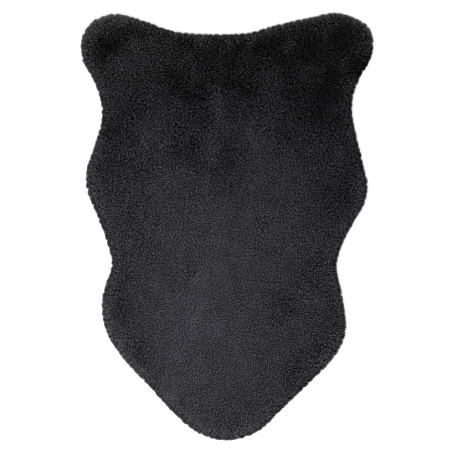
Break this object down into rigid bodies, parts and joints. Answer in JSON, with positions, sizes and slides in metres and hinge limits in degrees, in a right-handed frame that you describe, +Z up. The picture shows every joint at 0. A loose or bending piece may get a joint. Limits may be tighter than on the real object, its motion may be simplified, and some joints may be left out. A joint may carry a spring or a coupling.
{
  "type": "faux sheepskin rug",
  "caption": "Flat one-piece rug in the shape of a sheep's hide, with ears, shoulders, hips and a tail, and a dense soft pile that rolls over its edge all round.",
  "frame": {"origin": "middle of the rug's outline, on the floor that it lies on", "axes": "+Z up out of the pile, +Y along the rug towards the head end with the ears, +X to the right seen from above"},
  "size_m": [0.616, 0.9, 0.0303],
  "materials": {
    "pile": "matte deep pile, dark charcoal grey"
  },
  "bodies": {
    "root": {"sheepskin": "pile"}
  },
  "joints": []
}
